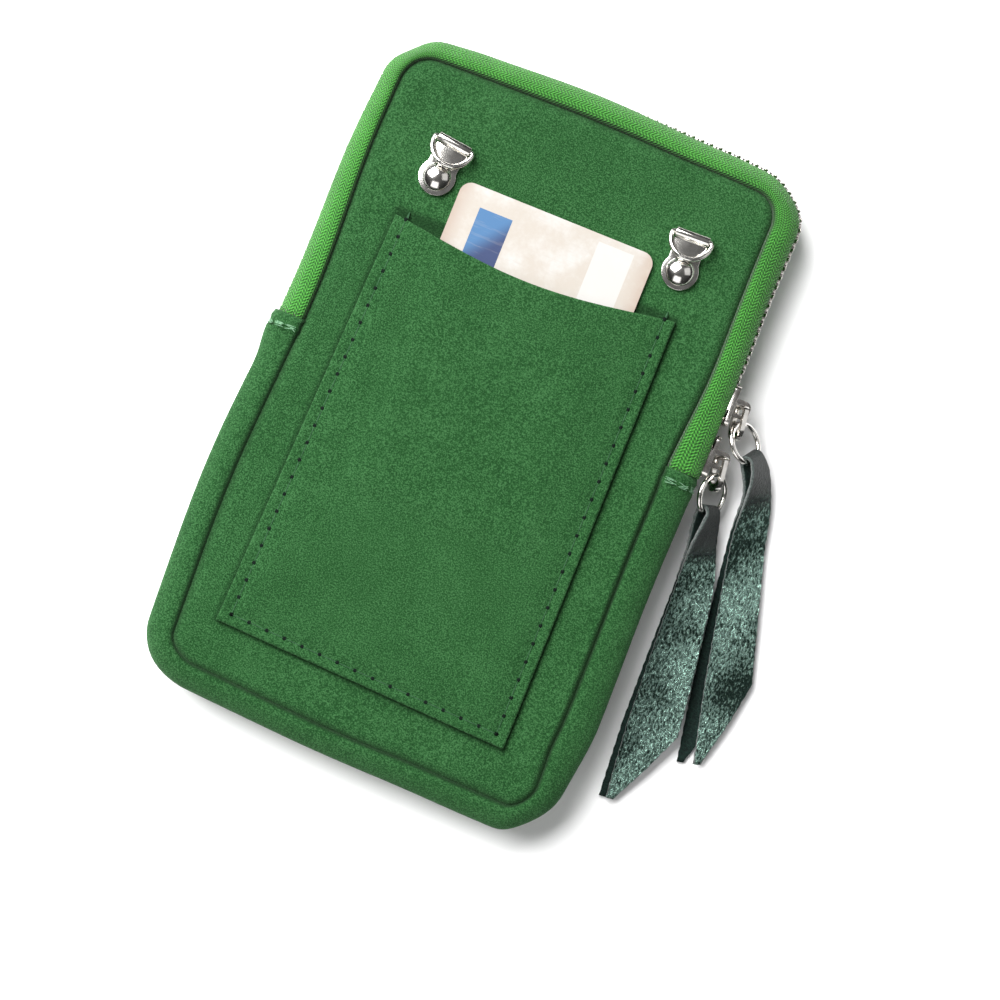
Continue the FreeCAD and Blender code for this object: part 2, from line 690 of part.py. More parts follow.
def make_nodes():
    suede_shell = shell(0.0, suede_thickness)
    nodes = {
        "front_panel": make_front_panel(suede_shell),
        "rear_panel": make_rear_panel(suede_shell),
        "gusset": make_gusset(suede_shell),
        "front_zip_tape": make_tape(1),
        "rear_zip_tape": make_tape(-1),
        "front_zip_teeth": make_teeth(1),
        "rear_zip_teeth": make_teeth(-1),
        "card_pocket": make_pocket(),
        "pocket_stitching": make_pocket_stitching(),
        "hem_stitching": make_hem_stitching(),
        "card": make_card(),
    }
    for name in clip_places:
        nodes[name + "_clip_plate"] = make_clip_plate(name)
        nodes[name + "_clip_ring"] = make_clip_ring(name)
        nodes[name + "_rivet"] = make_rivet(name)
        nodes[name + "_rivet_washer"] = make_washer(name)
    # name, middle of the slider, way its head points, ring direction, ring wire direction,
    # heading of the strap in degrees, its outline, how far its lower tail fans out, and its arch
    pulls = [
        ("upper", upper_slider_y, -1, (0.70, -0.70, -0.14), (0.53, 0.42, -0.73), 14.0,
         upper_tail, -3.5, 0.0),
        ("lower", lower_slider_y, 1, (0.15, -0.98, -0.10), (0.62, 0.09, -0.75), 5.5,
         lower_tail, -1.5, 2.5),
    ]
    for name, centre_y, head, direction, tangent, heading, outline, fan, arch in pulls:
        frame = ring_frame(centre_y, Vector(*direction), Vector(*tangent))
        leather, thread = make_strap(frame, heading, outline, fan, arch)
        nodes[name + "_slider"] = make_slider(centre_y, head)
        nodes[name + "_pull"] = make_pull(centre_y)
        nodes[name + "_ring"] = make_ring(frame)
        nodes[name + "_strap"] = leather
        nodes[name + "_strap_thread"] = thread
    return nodes


os.makedirs("parts", exist_ok=True)
for node, shape in make_nodes().items():
    shape.exportStep("parts/" + node + ".step")
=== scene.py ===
import bpy, bmesh, json, math, random
from mathutils import Matrix, Vector


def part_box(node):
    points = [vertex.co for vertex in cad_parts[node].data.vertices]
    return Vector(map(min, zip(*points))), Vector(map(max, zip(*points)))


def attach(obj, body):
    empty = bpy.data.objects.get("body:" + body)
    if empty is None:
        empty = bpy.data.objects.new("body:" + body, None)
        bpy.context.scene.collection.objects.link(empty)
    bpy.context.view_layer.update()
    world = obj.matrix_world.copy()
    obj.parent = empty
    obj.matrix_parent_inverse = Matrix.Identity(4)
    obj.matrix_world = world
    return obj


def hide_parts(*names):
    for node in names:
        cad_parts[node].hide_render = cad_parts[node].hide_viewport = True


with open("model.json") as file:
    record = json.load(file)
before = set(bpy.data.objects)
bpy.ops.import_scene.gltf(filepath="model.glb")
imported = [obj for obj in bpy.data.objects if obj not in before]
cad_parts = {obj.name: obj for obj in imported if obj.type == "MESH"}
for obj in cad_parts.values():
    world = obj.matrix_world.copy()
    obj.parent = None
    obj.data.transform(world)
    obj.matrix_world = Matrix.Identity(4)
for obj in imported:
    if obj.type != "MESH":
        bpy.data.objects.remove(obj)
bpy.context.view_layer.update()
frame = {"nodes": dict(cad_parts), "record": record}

mm = 0.001
slotOf = {piece["node"]: piece["material_slot"] for piece in frame["record"]["subparts"]}
jointOf = {joint["name"]: joint for joint in frame["record"]["behaviour"]["joints"]}
bodyOf = {node: body for body, nodes in frame["record"]["behaviour"]["bodies"].items()
          for node in nodes}


# Shader sockets that add up, and one method for every other node

class Wire:
    def __init__(self, tree, socket=None):
        self.tree, self.socket = tree, socket

    def add(self, kind, settings=None, values=None, out=0):
        node = self.tree.nodes.new(kind)
        for name, value in (settings or {}).items():
            if name == "stops":
                ramp = node.color_ramp
                while len(ramp.elements) < len(value):
                    ramp.elements.new(0.5)
                for element, (place, colour) in zip(ramp.elements, value):
                    element.position = place
                    element.color = colour if len(colour) == 4 else (*colour, 1)
            else:
                setattr(node, name, value)
        for name, value in (values or {}).items():
            if isinstance(value, Wire):
                self.tree.links.new(value.socket, node.inputs[name])
            else:
                node.inputs[name].default_value = value
        return Wire(self.tree, node.outputs[out])

    def math(self, operation, *values):
        return self.add("ShaderNodeMath", {"operation": operation}, dict(enumerate(values)))

    def __add__(self, other): return self.math("ADD", self, other)
    def __radd__(self, other): return self.math("ADD", other, self)
    def __sub__(self, other): return self.math("SUBTRACT", self, other)
    def __rsub__(self, other): return self.math("SUBTRACT", other, self)
    def __mul__(self, other): return self.math("MULTIPLY", self, other)
    def __rmul__(self, other): return self.math("MULTIPLY", other, self)
    def __truediv__(self, other): return self.math("DIVIDE", self, other)
    def __lt__(self, other): return self.math("LESS_THAN", self, other)
    def __gt__(self, other): return self.math("GREATER_THAN", self, other)

    def clamp(self): return self.add("ShaderNodeClamp", {}, {"Value": self})
    def sine(self): return self.math("SINE", self)
    def size(self): return self.math("ABSOLUTE", self)
    def bounce(self, width): return self.math("PINGPONG", self, width)

    def ramp(self, *stops):
        return self.add("ShaderNodeValToRGB", {"stops": stops}, {"Fac": self})

    def fade(self, low, high):
        settings = {"interpolation_type": "SMOOTHSTEP"}
        return self.add("ShaderNodeMapRange", settings,
                        {"Value": self, "From Min": low, "From Max": high})

    def tint(self, dark, light):
        dark = dark if isinstance(dark, Wire) else (*dark, 1)
        light = light if isinstance(light, Wire) else (*light, 1)
        return self.add("ShaderNodeMix", {"data_type": "RGBA"}, {0: self, 6: dark, 7: light}, 2)

    def noise(self, scale, detail=2.0, roughness=0.5, stretch=None):
        place = self
        if stretch:
            place = self.add("ShaderNodeMapping", {}, {"Vector": self, "Scale": stretch})
        return self.add("ShaderNodeTexNoise", {}, {"Vector": place, "Scale": scale,
                                                   "Detail": detail, "Roughness": roughness})

    def cells(self, scale):
        # one colour of its own for each cell
        return self.add("ShaderNodeTexVoronoi", {}, {"Vector": self, "Scale": scale}, "Color")

    def bump(self, distance, strength):
        return self.add("ShaderNodeBump", {},
                        {"Height": self, "Distance": distance, "Strength": strength})

    def apart(self, axis):
        return self.add("ShaderNodeSeparateXYZ", {}, {0: self}, axis)


def newMaterial(name, paint, constants):
    material = bpy.data.materials.new(name)
    material.use_nodes = True
    tree = material.node_tree
    shader = tree.nodes["Principled BSDF"]
    for socket, value in constants.items():
        shader.inputs[socket].default_value = value
    for socket, wire in paint(Wire(tree)).items():
        tree.links.new(wire.socket, shader.inputs[socket])
    return material


def objectPlace(start):
    return start.add("ShaderNodeTexCoord", {}, {}, "Object")


def uvPlace(start):
    return start.add("ShaderNodeUVMap", {"uv_map": "cloth"})


def marked(start, name):
    # how strongly each point of a piece is marked under this name, 0 where it isn't
    return start.add("ShaderNodeAttribute", {"attribute_name": name}, {}, "Fac")


# Suede: a short brushed nap that catches the light in patches

suedeLook = {"deep": (0.0052, 0.034, 0.0075), "middle": (0.012, 0.062, 0.0145),
             "light": (0.038, 0.122, 0.041), "valleyShade": (0.0015, 0.012, 0.0025),
             "patch": 70.0, "nap": 2500.0, "speckle": 5200.0, "brush": (1.0, 0.45, 1.0),
             "offset": 0.92, "worn": 16.0, "wornShare": 0.2, "seamShade": 0.85, "relief": 0.0005}


def suedePaint(start, look=suedeLook):
    place = objectPlace(start)
    patches = place.noise(look["patch"], 5.0, 0.62)
    brushed = place.noise(look["nap"] * 0.2, 4.0, 0.7, look["brush"])
    nap = place.noise(look["nap"], 3.0, 0.65)
    speckle = place.noise(look["speckle"], 2.0, 0.6)
    mixed = patches * 0.2 + brushed * 0.15 + nap * 1.6 + speckle * 0.9 - look["offset"]
    colour = mixed.fade(0.25, 0.75).ramp((0.0, look["deep"]), (0.5, look["middle"]),
                                         (1.0, look["light"]))
    worn = place.noise(look["worn"], 6.0, 0.7).fade(0.56, 0.80) * look["wornShare"]
    colour = worn.tint(colour, look["light"])
    # painted shade: the suede darkens towards its valley shade colour where the seam mark is high,
    # down in the seam grooves and beside the pocket's cut edges
    colour = (marked(start, "seam") * look["seamShade"]).tint(colour, look["valleyShade"])
    height = nap * 0.5 + speckle * 0.35 + brushed * 0.5
    return {"Base Color": colour, "Roughness": 0.86 + 0.12 * nap,
            "Normal": height.bump(look["relief"], 0.9)}


suedeShader = {"Sheen Weight": 0.16, "Sheen Roughness": 0.5, "Sheen Tint": (0.45, 0.85, 0.45, 1),
               "Specular IOR Level": 0.12}
suede = newMaterial("suede", suedePaint, suedeShader)
edgeLook = dict(suedeLook, deep=(0.002, 0.014, 0.004), middle=(0.005, 0.028, 0.007),
                light=(0.020, 0.060, 0.021), patch=120.0)
rawEdge = newMaterial("suede_cut_edge", lambda start: suedePaint(start, edgeLook), suedeShader)


# Zip tape: herringbone of thick yarns, along the tape's own map in millimetres

tapeLook = {"deep": (0.006, 0.070, 0.004), "light": (0.072, 0.35, 0.038),
            "valleyShade": (0.002, 0.022, 0.002), "band": 1.3, "slope": 0.9, "rib": 0.95, "yarn": 0.65,
            "wobble": 0.22, "patch": 120.0, "fibre": 5200.0, "offset": 0.64, "seamShade": 0.8,
            "relief": 0.0004}


def tapePaint(start, look=tapeLook):
    cloth = uvPlace(start)
    along, across = cloth.apart(0), cloth.apart(1)
    wobble = cloth.noise(0.9, 2.0) * look["wobble"]
    chevron = along + across.bounce(look["band"]) * look["slope"] + wobble
    rib = (chevron * (2 * math.pi / look["rib"])).sine() * 0.5 + 0.5
    yarn = (across * (2 * math.pi / look["yarn"]) + wobble * 4).sine() * 0.5 + 0.5
    weave = rib * 0.62 + yarn * 0.38
    patches = objectPlace(start).noise(look["patch"], 3.0, 0.6)
    fibre = objectPlace(start).noise(look["fibre"], 2.0, 0.6)
    shade = (weave + fibre * 0.6 + patches * 0.4 - look["offset"]).clamp()
    colour = shade.tint(look["deep"], look["light"])
    # painted shade: the tape darkens towards its valley shade colour where the seam mark is high,
    # down in the seam groove
    return {"Base Color": (marked(start, "seam") * look["seamShade"]).tint(colour, look["valleyShade"]),
            "Roughness": 0.9 - 0.25 * weave,
            "Normal": (weave + fibre * 0.25).bump(look["relief"], 1.0)}


tape = newMaterial("zip_tape", tapePaint, {"Sheen Weight": 0.12, "Sheen Roughness": 0.5,
                                           "Specular IOR Level": 0.3})


# Metals

def metalPaint(base, dark, scratch):
    def paint(start):
        place = objectPlace(start)
        smudge = place.noise(260.0, 4.0, 0.6)
        lines = place.noise(900.0, 3.0, 0.7, (1.0, 7.0, 1.0))
        return {"Base Color": smudge.fade(0.3, 0.75).tint(dark, base),
                "Roughness": 0.10 + scratch * (smudge * 0.6 + lines * 0.4),
                "Normal": (smudge * 0.5 + lines * 0.2).bump(0.00004, 0.35)}
    return paint


nickel = newMaterial("nickel", metalPaint((0.86, 0.84, 0.80), (0.66, 0.64, 0.60), 0.14),
                     {"Metallic": 1.0})
zipMetal = newMaterial("zip_metal", metalPaint((0.80, 0.77, 0.73), (0.58, 0.55, 0.51), 0.24),
                       {"Metallic": 1.0})


# Strap leather: cracked foil over a near-black green, dark suede behind, furry cut edges

foilLook = {"base": (0.007, 0.018, 0.0135), "foil": (0.30, 0.47, 0.40),
            "bare": (0.005, 0.009, 0.008), "grain": 2300.0, "slant": 0.6, "worn": 34.0,
            "offset": 2.12}


def foilPaint(start):
    # fine wrinkles that run aslant, bright where the foil has stayed, bare leather by the fold
    place = objectPlace(start)
    slant = place.add("ShaderNodeMapping", {}, {"Vector": place, "Scale": (1.0, 0.5, 1.0),
                                                "Rotation": (0, 0, foilLook["slant"])})
    facet = slant.cells(foilLook["grain"]).apart(0)
    wrinkle = slant.noise(foilLook["grain"] * 0.9, 3.0, 0.62)
    worn = place.noise(foilLook["worn"], 3.0, 0.55)
    cover = (wrinkle * 2.1 + facet * 0.35 + worn * 2.2 - foilLook["offset"]).fade(0.0, 0.85)
    bare = marked(start, "bare")
    cover = cover * (1.0 - bare)
    colour = cover.tint(foilLook["base"], foilLook["foil"])
    return {"Base Color": (bare * 0.9).tint(colour, foilLook["bare"]),
            "Metallic": 0.85 - bare * 0.75, "Roughness": 0.34 + bare * 0.12 - cover * 0.1,
            "Normal": (wrinkle * 1.6 + facet * 0.7 + worn * 0.8).bump(0.0007, 1.0)}


def reversePaint(start):
    place = objectPlace(start)
    nap = place.noise(1500.0, 3.0, 0.7)
    return {"Base Color": nap.fade(0.3, 0.7).tint((0.002, 0.006, 0.005), (0.008, 0.022, 0.017)),
            "Roughness": 0.85 + nap * 0.1, "Normal": nap.bump(0.0003, 0.8)}


def furryPaint(start):
    place = objectPlace(start)
    fibre = place.noise(2200.0, 4.0, 0.75)
    return {"Base Color": fibre.fade(0.35, 0.68).tint((0.012, 0.022, 0.020), (0.11, 0.135, 0.125)),
            "Roughness": 0.9 + fibre * 0.05, "Normal": fibre.bump(0.0005, 1.0)}


foil = newMaterial("strap_foil", foilPaint, {"Specular IOR Level": 0.6})
reverse = newMaterial("strap_reverse", reversePaint, {"Specular IOR Level": 0.2})
furry = newMaterial("strap_cut_edge", furryPaint, {"Sheen Weight": 0.3,
                                                   "Specular IOR Level": 0.1})


# Threads

def threadPaint(dark, light):
    def paint(start):
        place = objectPlace(start)
        ply = place.noise(2400.0, 2.0, 0.6, (1.0, 1.0, 3.0))
        return {"Base Color": ply.fade(0.35, 0.65).tint(dark, light),
                "Roughness": 0.6 + ply * 0.2, "Normal": ply.bump(0.0002, 0.9)}
    return paint


tonalThread = newMaterial("tonal_thread", threadPaint((0.008, 0.045, 0.014), (0.030, 0.10, 0.040)),
                          {"Specular IOR Level": 0.3})
mintThread = newMaterial("mint_thread", threadPaint((0.05, 0.15, 0.07), (0.19, 0.35, 0.21)),
                         {"Specular IOR Level": 0.3})
darkThread = newMaterial("dark_thread", threadPaint((0.003, 0.006, 0.006), (0.016, 0.026, 0.024)),
                         {"Specular IOR Level": 0.3})
# painted shade: near-black for the needle holes, which are dark spots on the surface, not hollows
holeShade = newMaterial("needle_hole_shade", threadPaint((0.0005, 0.003, 0.0015), (0.0015, 0.008, 0.004)),
                       {"Specular IOR Level": 0.1})


# Card: cream plastic with a plain blue block and a plain pale block, rubbed with use

cardLook = {"cream": (0.36, 0.325, 0.285), "pink": (0.28, 0.205, 0.155),
            "white": (0.43, 0.42, 0.405), "scuff": (0.20, 0.15, 0.12),
            "blue": (0.005, 0.020, 0.085), "sky": (0.030, 0.11, 0.24),
            "middle": -0.2, "rim": (21.5, 6.0), "skyEdge": (62.0, 8.0)}
blueBlock = {"x": (-20.6, -11.4), "y": (39.5, 54.8)}
paleBlock = {"x": (11.5, 21.4), "y": (30.0, 58.2)}


def cardPaint(start):
    place = objectPlace(start)
    x, y = place.apart(0) / mm, place.apart(1) / mm

    def block(area):
        inside = 1.0
        for wire, (low, high) in ((x, area["x"]), (y, area["y"])):
            inside = (wire > low) * (wire < high) * inside
        return inside

    rubbed = place.noise(60.0, 5.0, 0.7)
    lines = place.noise(700.0, 3.0, 0.8, (0.10, 1.0, 1.0)).fade(0.56, 0.66)
    colour = rubbed.fade(0.42, 0.70).tint(cardLook["cream"], cardLook["white"])
    rimStart, rimRun = cardLook["rim"]
    rim = ((x - cardLook["middle"]).size() - rimStart).fade(0.0, rimRun) * 0.75
    colour = (rim * rubbed.fade(0.3, 0.55)).tint(colour, cardLook["pink"])
    colour = (block(paleBlock) * 0.85).tint(colour, cardLook["white"])
    skyStart, skyRun = cardLook["skyEdge"]
    blue = (y - x * 1.2 - skyStart).fade(0.0, skyRun).tint(cardLook["blue"], cardLook["sky"])
    colour = (block(blueBlock) * (1.0 - lines * 0.08)).tint(colour, blue)
    scuffs = lines * rubbed.fade(0.48, 0.74) * 0.35
    return {"Base Color": scuffs.tint(colour, cardLook["scuff"]),
            "Roughness": 0.42 + rubbed * 0.22, "Normal": rubbed.bump(0.00006, 0.4)}


cardPlastic = newMaterial("card_plastic", cardPaint, {"Coat Weight": 0.1, "Coat Roughness": 0.3})
print("materials made")


# Sizes of the pouch, worked out from the frame

seamInset = 6.5 * mm                             # outline to the seam
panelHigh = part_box("front_panel")[1]
pouch = {
    "half": panelHigh.x + seamInset,             # middle to the outline, across
    "halfHeight": panelHigh.y + seamInset,
    "top": panelHigh.z, "radius": 14.0 * mm,
    "seam": seamInset,
    "round": 5.6 * mm,                           # roll of the side wall
    "tuck": 1.6 * mm,                            # roll of the wall down into the seam
    "groove": 3.5 * mm,                          # depth of the seam
    "suede": 1.3 * mm, "tapeThickness": 0.7 * mm,
    "zipEnd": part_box("front_zip_tape")[0].y,
    "step": 1.6 * mm,
}


def easeIn(value):
    value = min(max(value, 0.0), 1.0)
    return value * value * (3 - 2 * value)


def outwardOf(x, y):
    # direction out of the outline at a point near it
    a = max(abs(x) - pouch["half"] + pouch["radius"], 0.0)
    b = max(abs(y) - pouch["halfHeight"] + pouch["radius"], 0.0)
    if a == 0.0 and b == 0.0:
        return Vector((math.copysign(1, x), 0, 0))
    return Vector((math.copysign(a, x), math.copysign(b, y), 0)).normalized()


def climb(value, start, run):
    return easeIn((value - start) / run)


def hill(value, centre, spread):
    return math.exp(-((value - centre) / spread) ** 2)


# how far each corner stands out, by (right, top), in millimetres
cornerFill = {(False, True): -0.9, (True, True): -0.4, (False, False): 0.3, (True, False): -0.9}

# how the soft pouch lies off its pattern, in millimetres: amounts, with the start and run of each
# climb and the centre and spread of each hill
lie = {
    "full": 3.6, "fullHill": (-46, 46), "fullClimb": (45, 11),
    "tight": 1.5, "tightHill": (84, 20), "tightClimb": (47, 11),
    "bottom": 0.4, "bottomClimb": (68, 20), "tilt": 0.031, "sag": 1.7, "sagHill": (-4, 27),
    "bottomRight": 0.9, "bottomRightClimb": (10, 40),
    "crown": 1.1, "crownClimb": (82, 9), "crownHill": (0, 42),
    "crownEnds": 1.2, "crownEndsClimb": (34, 20),
    "drawn": 2.7, "drawnDown": (60, 28), "drawnRight": (32, 25),
    "wave": 0.32, "waveLengths": (13, 9, 11), "waveFrom": (47, 80), "waveRun": 8,
    "sliders": (22, 24),
    "rightSide": (35, 12), "rightTop": (80, 8), "seamSpread": 3.4,
    "seamOut": 1.3, "seamOutClimb": (20, 50),
    "seamIn": 2.2, "seamInClimb": (-40, 35), "seamInEnd": (66, 16),
}


def slack(place):
    x, y = place.x / mm, place.y / mm
    half, halfHeight = pouch["half"] / mm, pouch["halfHeight"] / mm
    corner = pouch["radius"] / mm
    # full low on the left, tight above, drawn in at the lower right
    full = lie["full"] * hill(y, *lie["fullHill"]) * climb(-x, *lie["fullClimb"])
    tight = lie["tight"] * hill(y, *lie["tightHill"]) * climb(-x, *lie["tightClimb"])
    drawn = lie["drawn"] * climb(-y, *lie["drawnDown"]) * climb(x, *lie["drawnRight"])
    bottom = climb(-y, *lie["bottomClimb"]) * (
        lie["bottom"] - lie["tilt"] * x - lie["bottomRight"] * climb(x, *lie["bottomRightClimb"])
        - lie["sag"] * hill(x, *lie["sagHill"]))
    crown = climb(y, *lie["crownClimb"]) * (
        lie["crown"] * hill(x, *lie["crownHill"])
        - lie["crownEnds"] * climb(abs(x), *lie["crownEndsClimb"]))
    move = Vector((tight - full - drawn, bottom + crown, 0.0))
    a, b = abs(x) - half + corner, abs(y) - halfHeight + corner
    if a > 0 and b > 0:
        square = math.sin(2 * math.atan2(b, a)) ** 2 * min(math.hypot(a, b) / corner, 1.0) ** 2
        out = Vector((math.copysign(a, x), math.copysign(b, y), 0)).normalized()
        move += out * square * cornerFill[(x > 0, y > 0)]
    # a slow wave of the sides, still at the middle and beside the sliders
    fromX, fromY = lie["waveFrom"]
    free = easeIn(max(abs(x) - fromX, (abs(y) - fromY) * 0.8) / lie["waveRun"])
    if x > 0:
        centre, spread = lie["sliders"]
        free *= 1 - math.exp(-((y - centre) / spread) ** 4)
    up, skew, over = lie["waveLengths"]
    wave = Vector((math.sin(y / up + 0.7 * math.sin(x / skew)), math.sin(x / over + 2.0), 0))
    move += wave * lie["wave"] * free
    # the seam lies further out over the top and the left, further in low on the right
    rightSide = climb(x, *lie["rightSide"]) * (1 - climb(y, *lie["rightTop"]))
    outer = lie["seamOut"] * climb(y, *lie["seamOutClimb"]) * (1 - rightSide)
    inner = lie["seamIn"] * climb(-y, *lie["seamInClimb"]) * rightSide
    inner *= 1 - climb(-y, *lie["seamInEnd"])
    fromOutline = fromEdge(x, y, 2 * half, 2 * halfHeight, corner)
    nearSeam = hill(fromOutline, pouch["seam"] / mm, lie["seamSpread"])
    move += outwardOf(place.x, place.y) * (outer - inner) * nearSeam
    return move * mm


# how wide and how tall each wave of a ripple is
rippleWaves = ((31, 47), (19, 29), (11, 17))


def ripple(x, y, seed):
    # soft unevenness, about -1 to 1
    value = 0.0
    for i, (wide, tall) in enumerate(rippleWaves):
        sideways = math.sin(x / wide + seed + 2.1 * i)
        upwards = math.sin(y / tall - seed * 1.7 + i)
        value += sideways * upwards / (i + 1.6)
    return value


def meshPiece(name, bm, materials):
    mesh = bpy.data.meshes.new(name)
    bm.to_mesh(mesh)
    bm.free()
    for material in materials:
        mesh.materials.append(material)
    mesh.shade_smooth()
    piece = bpy.data.objects.new(name, mesh)
    bpy.context.collection.objects.link(piece)
    return piece


def laidGrid(columns, rows, spot, mark, strength):
    # a grid of quads: each point (i, j) lies at spot(i, j) and is marked by strength(i, j)
    bm = bmesh.new()
    layer = bm.verts.layers.float.new(mark)
    bmesh.ops.create_grid(bm, x_segments=columns, y_segments=rows, size=0.5)
    cells = {}
    for vert in bm.verts:
        cells[vert] = (round((vert.co.x + 0.5) * columns), round((vert.co.y + 0.5) * rows))
        vert.co = spot(*cells[vert])
        vert[layer] = strength(*cells[vert])
    return bm, cells


def modifier(piece, kind, **settings):
    made = piece.modifiers.new(kind.lower(), kind)
    for name, value in settings.items():
        setattr(made, name, value)
    return made


def place(piece, body, slot, *nodes):
    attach(piece, body)
    if nodes:
        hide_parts(*nodes)
    return piece


# Front and rear panels: a grid, denser at its edges, rounded at its corners

# how much denser each grid is at its edges, 0 for even
edgeCrowding = {"panel": 0.9, "pocket": 0.6}


def roundedGrid(width, height, radius, columns, rows):
    bm = bmesh.new()
    bmesh.ops.create_grid(bm, x_segments=columns, y_segments=rows, size=1.0)
    bend = edgeCrowding["panel"] * math.pi / 2
    for vert in bm.verts:
        x = math.sin(vert.co.x * bend) / math.sin(bend) * width / 2
        y = math.sin(vert.co.y * bend) / math.sin(bend) * height / 2
        cornerX, cornerY = width / 2 - radius, height / 2 - radius
        a, b = (abs(x) - cornerX) / radius, (abs(y) - cornerY) / radius
        if a > 0 and b > 0:
            a, b = a * math.sqrt(1 - b * b / 2), b * math.sqrt(1 - a * a / 2)
            x = math.copysign(cornerX + a * radius, x)
            y = math.copysign(cornerY + b * radius, y)
        vert.co = (x, y, 0)
    return bm


def fromEdge(x, y, width, height, radius):
    a, b = abs(x) - (width / 2 - radius), abs(y) - (height / 2 - radius)
    if a > 0 and b > 0:
        return radius - math.hypot(a, b)
    return min(width / 2 - abs(x), height / 2 - abs(y))


# ridges of the suede beside the pocket: place, direction in degrees, length, width, height
creases = [(46.0, 19.0, -12.0, 12.0, 1.5, 0.30), (45.5, 11.0, -16.0, 13.0, 1.8, 0.34),
           (47.0, 3.0, -10.0, 10.0, 1.6, 0.22), (45.0, -8.0, 8.0, 9.0, 1.6, 0.18),
           (-47.0, -6.0, 20.0, 8.0, 1.8, 0.20), (-48.0, -30.0, -15.0, 8.0, 1.7, 0.18)]


def creased(x, y):
    height = 0.0
    for cx, cy, turn, length, width, rise in creases:
        angle = math.radians(turn)
        u = (x - cx) * math.cos(angle) + (y - cy) * math.sin(angle)
        v = -(x - cx) * math.sin(angle) + (y - cy) * math.cos(angle)
        height += rise * math.exp(-(u / length) ** 2 - (v / width) ** 2)
    return height


# the panel rolls down into its seam, sags a little, and is held flat by its clips
panelLook = {"reach": 0.15 * mm, "roll": 4.2 * mm, "roundness": 0.62, "sag": 0.35, "highest": 0.3,
             "valleyShade": 1.3 * mm, "clips": ((-34.0, 62.0), (34.0, 62.8)), "clipSpread": 90.0,
             "rearUneven": 0.25 * mm, "rearRun": 30.0, "columns": 96, "rows": 140}


def makePanel(name, side):
    look = panelLook
    width = 2 * (pouch["half"] - pouch["seam"] + look["reach"])
    height = 2 * (pouch["halfHeight"] - pouch["seam"] + look["reach"])
    radius = pouch["radius"] - pouch["seam"] + look["reach"]
    bm = roundedGrid(width, height, radius, look["columns"], look["rows"])
    seam = bm.verts.layers.float.new("seam")
    for vert in bm.verts:
        x, y = vert.co.x / mm, vert.co.y / mm
        inside = max(fromEdge(vert.co.x, vert.co.y, width, height, radius), 0.0)
        # painted shade: the seam mark is high at the panel's edge in the seam groove and, on the
        # front, beside the pocket's cut edges, and darkens the suede there
        vert[seam] = hill(inside, 0, look["valleyShade"])
        if side > 0:
            vert[seam] = max(vert[seam], shadeBesidePocket(x, y))
        t = min(inside / look["roll"], 1.0)
        rolled = look["roundness"] * (1 - math.sqrt(1 - (1 - t) ** 2))
        drop = pouch["groove"] * (rolled + (1 - look["roundness"]) * (1 - t) ** 3)
        if side > 0:
            sunk = look["sag"] * (0.9 + ripple(x, y, 0.4)) - creased(x, y)
            held = max(math.exp(-((x - clipX) ** 2 + (y - clipY) ** 2) / look["clipSpread"])
                       for clipX, clipY in look["clips"])
            drop += max(sunk, -look["highest"]) * mm * t * (1 - held)
            vert.co.z = pouch["top"] - drop
        else:
            uneven = look["rearUneven"] * (1 + ripple(x, y, 2.2))
            vert.co.z = drop + uneven * t * easeIn(inside / mm / look["rearRun"])
        vert.co += slack(vert.co)
    if side < 0:
        bmesh.ops.reverse_faces(bm, faces=bm.faces)
    piece = meshPiece(name, bm, [suede])
    modifier(piece, "SOLIDIFY", thickness=pouch["suede"], offset=-1.0)
    return place(piece, "pouch", "suede", name)


# Side bands: a cross section carried round the outline

bandLook = {"wallSteps": 10, "tuckSteps": 7, "tuckTurn": 154.0, "valleyShade": (0.35, 1.7)}


def bandSection(side):
    # inset from the outline and height, from the middle of the side wall into the seam
    middle, turn = pouch["top"] / 2, pouch["round"]
    points = [(0.0, 0.0)]
    for i in range(bandLook["wallSteps"] + 1):
        angle = math.pi / 2 * i / bandLook["wallSteps"]
        points.append((turn * (1 - math.cos(angle)), middle - turn + turn * math.sin(angle)))
    for i in range(1, bandLook["tuckSteps"] + 1):
        angle = math.radians(bandLook["tuckTurn"] * i / bandLook["tuckSteps"])
        points.append((turn + pouch["tuck"] * math.sin(angle),
                       middle - pouch["tuck"] * (1 - math.cos(angle))))
    return [(inset, middle + side * height) for inset, height in points]


def outlineStops(sign):
    # place, way out and distance, from the right zip end over the top (1) or bottom (-1)
    radius = pouch["radius"]
    cornerX = pouch["half"] - radius
    cornerY = sign * (pouch["halfHeight"] - radius)
    side, quarter = abs(cornerY - pouch["zipEnd"]), math.pi / 2 * radius
    whole = 2 * side + 2 * quarter + 2 * cornerX
    count = 2 * round(whole / pouch["step"] / 2)
    stops = []
    for i in range(count + 1):
        distance = whole * i / count
        near = min(distance, whole - distance)
        mirror = 1 if distance <= whole / 2 else -1
        if near < side:
            out = Vector((1, 0, 0))
            here = Vector((pouch["half"], pouch["zipEnd"] + sign * near, 0))
        elif near < side + quarter:
            angle = (near - side) / radius
            out = Vector((math.cos(angle), sign * math.sin(angle), 0))
            here = Vector((cornerX, cornerY, 0)) + out * radius
        else:
            out = Vector((0, sign, 0))
            here = Vector((cornerX - (near - side - quarter), cornerY + sign * radius, 0))
        stops.append((Vector((mirror * here.x, here.y, 0)), Vector((mirror * out.x, out.y, 0)),
                      distance))
    return stops


def runBand(section, stops, shape):
    # shape moves a point, given its place, way out, and which point of the section it is
    def spot(i, j):
        (inset, height), (here, out, _) = section[i], stops[j]
        place = here - out * inset + Vector((0, 0, height))
        return shape(place, out, i)

    # painted shade: how strongly the seam mark darkens the band, rising where the wall tucks into
    # the seam
    def deep(i, _):
        start, steepness = bandLook["valleyShade"]
        return easeIn((section[i][0] - pouch["round"]) / pouch["tuck"] * steepness - start)

    return laidGrid(len(section) - 1, len(stops) - 1, spot, "seam", deep)


